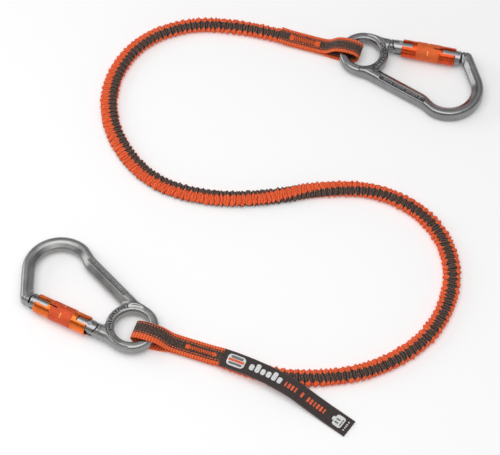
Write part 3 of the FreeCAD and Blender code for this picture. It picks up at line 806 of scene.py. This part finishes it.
def bar_field(x, y, high):
    """The bar from the eye down the spine, round the bow and up to the nose."""
    outer = side_distance(edge_line(*OUTER_EDGE), x[:, :, :1], y[:, :, :1])
    inner = -side_distance(edge_line(*INNER_EDGE), x[:, :, :1], y[:, :, :1])
    slope = 0.74
    bar = smooth_max(-outer, -inner, 0.3)
    bar = smooth_max(bar, high - BODY_T / 2, 0.5)
    # A steep bevel along the outer edge, and a wide one that falls to the inner edge.
    bar = smooth_max(bar, (high - 3.3 - outer) * 0.707, 0.7)
    bar = smooth_max(bar, (high - 1.9 - slope * inner) / math.hypot(1, slope), 0.6)
    bar = overlap(bar, NOSE_FACE - np.where(y > 5.0, x, 99.0))
    # The panel sunk in each face of the spine, a line further round the bow, and one round the nose arm.
    along = spine_place(x, y)[0]
    panel = overlap(np.abs(along) - 19.0, np.abs(outer - PANEL_IN) - 1.75)
    panel = smooth_max(panel, BODY_T / 2 - PANEL_DEPTH - high, 0.4)
    bar = smooth_max(bar, -panel, 0.5)
    line = overlap(np.abs(outer - 5.05) - 0.28, -(high - BODY_T / 2 + 0.45), 17.0 - along, y - 2.0)
    bar = smooth_max(bar, -line, 0.3)
    bar = scored(bar, overlap(np.abs(x - 73.6) - 0.4, 5.5 - y), 0.5, 0.3)
    return overlap(bar, -(along + SPINE_END))


def arm_field(x, y, high, from_pin):
    """The short arm from the eye to the gate's hinge, cleared for the gate's round end and scored once."""
    off_axis = np.abs(y - GATE_Y)
    arm = smooth_max(off_axis - ARM_HALF, high - BODY_T / 2, 0.8)
    arm = smooth_max(arm, (off_axis + high - ARM_HALF - BODY_T / 2 + 2.4) * 0.707, 0.8)
    arm = overlap(arm, x - PIN_X, 1.0 - x)
    arm = smooth_max(arm, 5.8 - from_pin, 0.5)
    return scored(arm, np.abs(x - 17.6) - 0.35, 0.5, 0.3)


def body_field(x, y, z):
    """Distance below (-) or above (+) the carabiner body's surface, about right near the surface."""
    high, radius = np.abs(z), np.hypot(x, y)
    from_pin = np.hypot(x - PIN_X, y - GATE_Y)
    body = ring_field(radius, high)
    for part in (bar_field(x, y, high), arm_field(x, y, high, from_pin)):
        body = smooth_min(body, overlap(part, RING_R - 1.6 - radius), 2.6)
    body = smooth_max(body, HOLE_R + 0.1 - radius, 1.6)
    turn = np.degrees(np.arctan2(y[:, :, :1], x[:, :, :1]))
    brow = overlap(np.abs(radius - BROW_R) - 0.42, np.abs(turn - BROW_MIDDLE) - BROW_HALF)
    body = scored(body, brow, 0.6, 0.35)
    # The tongue that holds the hinge pin, and the latch that the gate closes over.
    disc = np.minimum(from_pin - 4.3, overlap(np.abs(y - GATE_Y) - 4.3, x - PIN_X))
    tongue = overlap(disc, high - 2.0, x - PIN_X - 3.8, RING_R - 3 - x, 1.6 - from_pin)
    latch = overlap(np.abs(x - 70.5) - 3.0, np.abs(y - GATE_Y - 0.9) - 3.5, high - 2.0)
    return np.minimum(np.minimum(body, tongue), latch)


def surface_net(field, low, step):
    """The zero surface of a sampled field as quads, one point in each cell that the surface crosses."""
    inside = field < 0
    cells = tuple(n - 1 for n in field.shape)
    corners = [(i, j, k) for i in (0, 1) for j in (0, 1) for k in (0, 1)]

    def at(array, corner):
        return array[tuple(slice(c, c + n) for c, n in zip(corner, cells))]

    count = sum(at(inside, corner).astype(np.int8) for corner in corners)
    active = (count > 0) & (count < 8)
    number = np.full(cells, -1, np.int64)
    number[active] = np.arange(active.sum())
    total, crossings = np.zeros((active.sum(), 3)), np.zeros(active.sum())
    for axis, corner in [(axis, corner) for axis in range(3) for corner in corners if corner[axis] == 0]:
        other = tuple(c + (k == axis) for k, c in enumerate(corner))
        first, second = at(field, corner)[active], at(field, other)[active]
        crossed = (first < 0) != (second < 0)
        share = np.where(crossed, first / np.where(crossed, first - second, 1), 0)
        place = np.array(corner, float)[None, :] + share[:, None] * np.eye(3)[axis]
        total += place * crossed[:, None]
        crossings += crossed
    points = np.argwhere(active) + total / crossings[:, None]
    quads = []
    for axis in range(3):
        part = [slice(1, n) for n in cells]
        part[axis] = slice(0, cells[axis])
        start = inside[tuple(part)]
        part[axis] = slice(1, cells[axis] + 1)
        changes = start != inside[tuple(part)]
        u, v = (np.eye(3, dtype=int)[k] for k in range(3) if k != axis)
        cell = np.argwhere(changes) + u + v
        around = np.stack([number[tuple((cell - back).T)] for back in (0, u, u + v, v)], axis=1)
        flip = start[changes] == (axis == 1)
        around[flip] = around[flip][:, ::-1]
        quads.append(around)
    return np.asarray(low) + points * step, np.vstack(quads)


def body_mesh():
    """The carabiner body's points and faces in its own frame."""
    step = 0.42
    low, high = np.array([-20.0, -45.0, -6.0]), np.array([94.0, 20.5, 6.0])
    axes = [np.arange(a, b + step, step) for a, b in zip(low, high)]
    x, y, z = np.meshgrid(*axes, indexing="ij")
    return surface_net(body_field(x, y, z), low, step)


def bevelled_bar(middle, angle, length, width, height):
    """A small raised bar with sloping sides, standing on middle."""
    corners = np.array([(-1, -1), (1, -1), (1, 1), (-1, 1)], float) / 2
    cosine, sine = math.cos(angle), math.sin(angle)
    rings = []
    for inset, level in ((0.0, -0.3), (0.0, height * 0.4), (0.22, height)):
        along, across = (corners * np.array([length - inset, width - inset])).T
        px = middle[0] + along * cosine - across * sine
        py = middle[1] + along * sine + across * cosine
        rings.append(np.stack([px, py, np.full(4, middle[2] + level)], axis=1))
    return np.vstack(rings), closed_quads(3, 4)


def body_marks(dark):
    """Generic strokes on both faces: raised in the spine's panel, or, if dark, round the eye."""
    strokes = []
    if dark:
        radius = (HOLE_R + RING_R) / 2 + 0.2
        for number in range(12):
            angle = math.radians(-50 + 8.2 * number)
            lean, length = ((0.0, 3.0), (0.5, 2.6), (1.57, 1.9), (-0.4, 2.8))[number % 4]
            middle = (radius * math.cos(angle), radius * math.sin(angle), RING_T / 2 - 0.1)
            strokes.append((middle, angle + lean, length, 0.85, 0.4))
    else:
        for number in [number for number in range(21) if number % 7 != 5]:
            x, y, _ = spine_point(-15.0 + 1.5 * number, -SPINE_HALF + PANEL_IN)
            lean, length = ((0.0, 2.5), (0.0, 2.5), (0.45, 2.1), (1.57, 1.2))[number % 4]
            middle = (x, y, BODY_T / 2 - PANEL_DEPTH)
            strokes.append((middle, SPINE_ANGLE + math.pi / 2 + lean, length, 0.75, 0.66))
    pile = Pile()
    for face in (1, -1):
        for stroke in strokes:
            points, faces = bevelled_bar(*stroke)
            pile.add(points * (1, 1, face), faces if face > 0 else [one[::-1] for one in faces])
    return pile


def recess_share(points):
    """How far each point lies in a recess: up to 1 on the floor of the spine's panel, 0.6 in the brow."""
    x, y, z = np.asarray(points).T
    along, across = spine_place(x, y)
    panel = (np.abs(along) < 19.6) & (np.abs(across + SPINE_HALF - PANEL_IN) < 1.9)
    depth = ease(BODY_T / 2 - np.abs(z), 0.15, 0.7) * panel
    near = np.abs(np.hypot(x, y) - BROW_R) < 0.55
    brow = near & (np.abs(np.degrees(np.arctan2(y, x)) - BROW_MIDDLE) < BROW_HALF) & (np.abs(z) > 1.5)
    return np.maximum(depth, 0.6 * brow)


def make_carabiner(end, shape):
    place = carabiner_matrix(end)
    # How deep in a recess each point lies, which the alloy darkens as painted shade.
    pit_shade = recess_share(shape[0])
    paint = PAINTS[f"alloy_{end}"]
    body = make_piece(f"carabiner_forged_{end}", shape[0], shape[1], paint, place, values={"pit_shade": pit_shade})
    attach(body, f"carabiner_{end}")
    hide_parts(f"carabiner_body_{end}")
    for name, dark in (("marks", False), ("eye_marks", True)):
        paint = PAINTS["mark_dark" if dark else f"mark_{end}"]
        marks = body_marks(dark).piece(f"carabiner_{name}_{end}", paint, place)
        marks.data.polygons.foreach_set("use_smooth", [False] * len(marks.data.polygons))
        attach(marks, f"carabiner_{end}")


def tube_wall(x_lines, angles, outer_r, is_open, bore):
    """A round tube along x with openings through its wall: outside, inside and every cut face."""
    rows, columns = outer_r.shape
    shells = []
    for radius in (outer_r, np.full_like(outer_r, bore)):
        px = np.broadcast_to(x_lines[:, None], radius.shape)
        shells.append(np.stack([px, GATE_Y + radius * np.sin(angles), radius * np.cos(angles)], axis=2))
    middle_x = (x_lines[1:] + x_lines[:-1]) / 2
    middle_a = (angles + np.append(angles[1:], angles[0] + math.tau)) / 2
    solid = ~is_open(middle_x[:, None], middle_a[None, :])
    inner = rows * columns
    faces = []
    for row, column in np.argwhere(solid):
        a, d = row * columns + column, (row + 1) * columns + column
        step = (column + 1) % columns - column
        b, c = a + step, d + step
        faces += [[a, b, c, d], [inner + d, inner + c, inner + b, inner + a]]
        sides = (
            (row == 0 or not solid[row - 1, column], (a, b)),
            (row == rows - 2 or not solid[row + 1, column], (c, d)),
            (not solid[row, column - 1], (d, a)),
            (not solid[row, (column + 1) % columns], (b, c)),
        )
        faces += [[end, start, inner + start, inner + end] for dash_and_glint, (start, end) in sides if dash_and_glint]
    return np.stack(shells), faces


def off_angle(angle, centre):
    """How far an angle is from another, the short way round."""
    return np.abs((angle - centre + math.pi) % (math.tau) - math.pi)


def sleeve_grid():
    """The lines along and round the sleeve, closer on the grip and exact at each slot's and slit's edge."""
    stops = [
        SLEEVE_START, SLEEVE_START + 0.2, SLEEVE_START + SLEEVE_BEVEL, SLOT_STOP, KNURL_START,
        KNURL_START + KNURL_FADE, DASH_X, SLIT_START, KNURL_END - KNURL_FADE, KNURL_END, SLOT_START,
        SLEEVE_END - SLEEVE_BEVEL, SLEEVE_END - 0.2, SLEEVE_END,
    ]
    lines = []
    for first, second in zip(stops, stops[1:]):
        step = 0.17 if KNURL_START <= first < KNURL_END else 0.9
        lines += list(np.linspace(first, second, max(1, int((second - first) / step)), endpoint=False))
    step = math.radians(1.5)
    stops = [0.0, SLIT_TURN, SLOT_TURN, math.pi]
    half = []
    for first, second in zip(stops, stops[1:]):
        half += list(np.linspace(first, second, max(2, int((second - first) / step) + 1), endpoint=False))
    angles = sorted(half + [math.tau - a for a in half if a > 0] + [math.pi])
    return np.array(lines + [SLEEVE_END]), np.array(angles)


def sleeve_opening(x, angle):
    """True in the slot at each end and in the slit."""
    away = off_angle(angle, 0.0)
    slot = (away < SLOT_TURN) & ((x < SLOT_STOP) | (x > SLOT_START))
    return slot | ((away < SLIT_TURN) & (x > SLIT_START))


def make_sleeve(end):
    """The twist sleeve: glossy drawn ends, a knurled grip with four dashes, two slots and a slit."""
    x_lines, angles = sleeve_grid()
    x, angle = x_lines[:, None], angles[None, :]
    slant = KNURL_SLANT * angle * SLEEVE_R
    ridges = [np.abs(np.sin(math.pi * (x + way) / KNURL_PITCH)) for way in (slant, -slant)]
    knurl = ridges[0] * ridges[1]
    dash = np.zeros(knurl.shape)
    for centre in np.radians(DASH_DEGREES):
        near = 1 - ease(off_angle(angle, centre), 0.22, 0.3)
        dash = np.maximum(dash, near * (1 - ease(np.abs(x - DASH_X), 0.3, 0.55)))
    grip = ease(x, KNURL_START, KNURL_START + KNURL_FADE)
    grip = grip * (1 - ease(x, KNURL_END - KNURL_FADE, KNURL_END))
    bevel = 1 - ease(x, SLEEVE_START, SLEEVE_START + SLEEVE_BEVEL)
    bevel = 0.3 * (bevel + ease(x, SLEEVE_END - SLEEVE_BEVEL, SLEEVE_END))
    raised = grip * (1 - dash) * (KNURL_FLOOR_R - SLEEVE_R + KNURL_HEIGHT * knurl)
    outer_r = SLEEVE_R - bevel + raised - 0.1 * dash

    points, faces = tube_wall(x_lines, angles, outer_r, sleeve_opening, SLEEVE_BORE)
    crest = np.stack([knurl * (1 - dash), np.full(knurl.shape, 0.6)])
    dash_and_glint = np.stack([dash, np.zeros(dash.shape)])
    piece = make_piece(
        f"sleeve_{end}", points, faces, PAINTS[f"sleeve_{end}"], carabiner_matrix(end),
        values={"crest": crest, "dash_and_glint": dash_and_glint},
    )
    piece.data.materials.append(PAINTS[f"grip_{end}"])
    on_grip = np.stack([np.broadcast_to(grip, knurl.shape) > 0.5, np.zeros(knurl.shape, bool)]).ravel()
    for polygon in piece.data.polygons:
        polygon.material_index = int(all(on_grip[v] for v in polygon.vertices))
    piece.modifiers.new("normals", "WEIGHTED_NORMAL").keep_sharp = True
    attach(piece, f"sleeve_{end}")
    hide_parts(f"locking_sleeve_{end}")


def make_gate_spring(end):
    """The coil behind the plunger."""
    turn = np.linspace(0, math.tau * SPRING_TURNS, 20 * SPRING_TURNS + 1)
    x = np.linspace(SPRING_START + SPRING_WIRE, SPRING_END - SPRING_WIRE, len(turn))
    points = np.column_stack([x, GATE_Y + SPRING_R * np.cos(turn), SPRING_R * np.sin(turn)])
    place = carabiner_matrix(end)
    piece = make_piece(f"gate_coil_{end}", *thread(points, SPRING_WIRE), PAINTS["spring"], place)
    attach(piece, f"gate_{end}")
    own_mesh(piece)
    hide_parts(f"gate_spring_{end}")


# ---- frame and stage


def paint_frame():
    """Gives the CAD nodes that stay their metal."""
    metals = {"gate": "gate", "sleeve_spring": "spring"}
    metals.update(dict.fromkeys(("hinge_pin", "guide_pin", "gate_plunger"), "pin"))
    for node, metal in metals.items():
        for end in ENDS:
            materials = frame["nodes"][f"{node}_{end}"].data.materials
            materials.clear()
            materials.append(PAINTS[metal])


def make_floor():
    """A white floor that glows a little."""
    half = 4000.0
    corners = [(-half, -half, 0), (half, -half, 0), (half, half, 0), (-half, half, 0)]
    paint = Paint("floor_white", Roughness=0.9)
    paint.set(Base_Color=(0.9, 0.9, 0.9, 1), Emission_Color=(1, 1, 1, 1), Emission_Strength=0.1)
    make_piece("floor", corners, [(0, 1, 2, 3)], paint.material)


def aim(thing, target):
    thing.rotation_euler = (Vector(target) - thing.location).to_track_quat("-Z", "Y").to_euler()


def make_lights():
    """A white studio: a soft box overhead, a weaker one at the left, and grey bands in the sky."""
    world = bpy.data.worlds.new("studio")
    bpy.context.scene.world = world
    world.use_nodes = True
    tree = world.node_tree
    way = tree.nodes.new("ShaderNodeTexCoord").outputs["Generated"]
    parts = tree.nodes.new("ShaderNodeSeparateXYZ")
    tree.links.new(way, parts.inputs[0])
    ramp = tree.nodes.new("ShaderNodeValToRGB")
    # The sky's brightness at each height, from the horizon at 0 to overhead at 1.
    sky = [(0.0, 0.75), (0.16, 0.95), (0.36, 0.28), (0.62, 0.22), (0.80, 0.50), (0.95, 0.95)]
    while len(ramp.color_ramp.elements) < len(sky):
        ramp.color_ramp.elements.new(0.5)
    for element, (height, level) in zip(ramp.color_ramp.elements, sky):
        element.position = height
        element.color = (level, level, level * 1.01, 1)
    tree.links.new(parts.outputs[2], ramp.inputs[0])
    tree.links.new(ramp.outputs[0], tree.nodes["Background"].inputs[0])
    boxes = [
        ("soft_box", (-0.15, -0.25, 1.0), (-0.1, -0.1, 0), (1.2, 0.9), 5.6),
        ("side_box", (-1.0, 0.35, 0.5), (0, 0, 0), (0.7, 0.5), 2.6),
    ]
    for name, place, target, size, power in boxes:
        light = bpy.data.lights.new(name, "AREA")
        light.shape, light.energy = "RECTANGLE", power
        light.size, light.size_y = size
        lamp = add_object(name, light)
        lamp.location = place
        aim(lamp, target)


def make_camera():
    """The photo's view: from the front, looking down at 58 degrees."""
    target = Vector((-0.0071, -0.0056, 0.0))
    elevation, distance = math.radians(58.0), 1.260
    camera = bpy.data.cameras.new("camera")
    camera.sensor_width, camera.lens = 36.0, 129.6
    holder = add_object("camera", camera)
    holder.location = target + Vector((0, -math.cos(elevation), math.sin(elevation))) * distance
    aim(holder, target)
    bpy.context.scene.camera = holder


PAINTS = {
    "webbing": woven("strap_webbing"),
    "label": tape("label_tape"),
    "thread": yarn_paint("orange_thread", (0.95, 0.16, 0.03), (0.6, 0.06, 0.01)),
    "print_white": yarn_paint("white_print", (0.78, 0.78, 0.77), (0.55, 0.55, 0.55)),
    "print_orange": yarn_paint("orange_print", (0.85, 0.14, 0.05), (0.6, 0.08, 0.03)),
    "print_grey": yarn_paint("grey_print", (0.2, 0.2, 0.2), (0.12, 0.12, 0.12)),
    # A and B are one aluminium: B's copy is darker, with darker recesses, as painted shade.
    "alloy_a": alloy("alloy_a", (0.335, 0.335, 0.33), 0.32, 0.66),
    "alloy_b": alloy("alloy_b", (0.295, 0.295, 0.30), 0.23, 0.36),
    "mark_a": alloy("mark_a", (0.50, 0.50, 0.50), 0.36),
    "mark_b": alloy("mark_b", (0.52, 0.52, 0.525), 0.26),
    "mark_dark": alloy("mark_dark", (0.06, 0.06, 0.06), 0.5),
    # The sleeves are one anodise, toned for the light on each: A's glossy ends lighter and yellower than
    # its grip as a painted highlight, B's glossy ends darker as painted shade, B's grip brighter as painted
    # light.
    "sleeve_a": anodised("sleeve_gloss_a", (0.97, 0.200, 0.035), 0.22, False),
    "sleeve_b": anodised("sleeve_gloss_b", (0.74, 0.085, 0.020), 0.24, False),
    "grip_a": anodised("sleeve_grip_a", (0.90, 0.125, 0.032), 0.38, True),
    "grip_b": anodised("sleeve_grip_b", (1.0, 0.19, 0.040), 0.34, True),
    "gate": alloy("gate_rod", (0.33, 0.33, 0.335), 0.24),
    "pin": steel("pin_steel", (0.55, 0.55, 0.56), 0.25),
    "spring": steel("spring_wire", (0.4, 0.4, 0.41), 0.3),
}

make_camera()
make_jacket()
for end in ENDS:
    make_strap(end)
    make_stitches(end)
make_label()
make_label_marks()
carabiner_shape = body_mesh()
for end in ENDS:
    make_carabiner(end, carabiner_shape)
    make_sleeve(end)
    make_gate_spring(end)
paint_frame()
make_floor()
make_lights()
bpy.context.scene.view_settings.view_transform = "Standard"
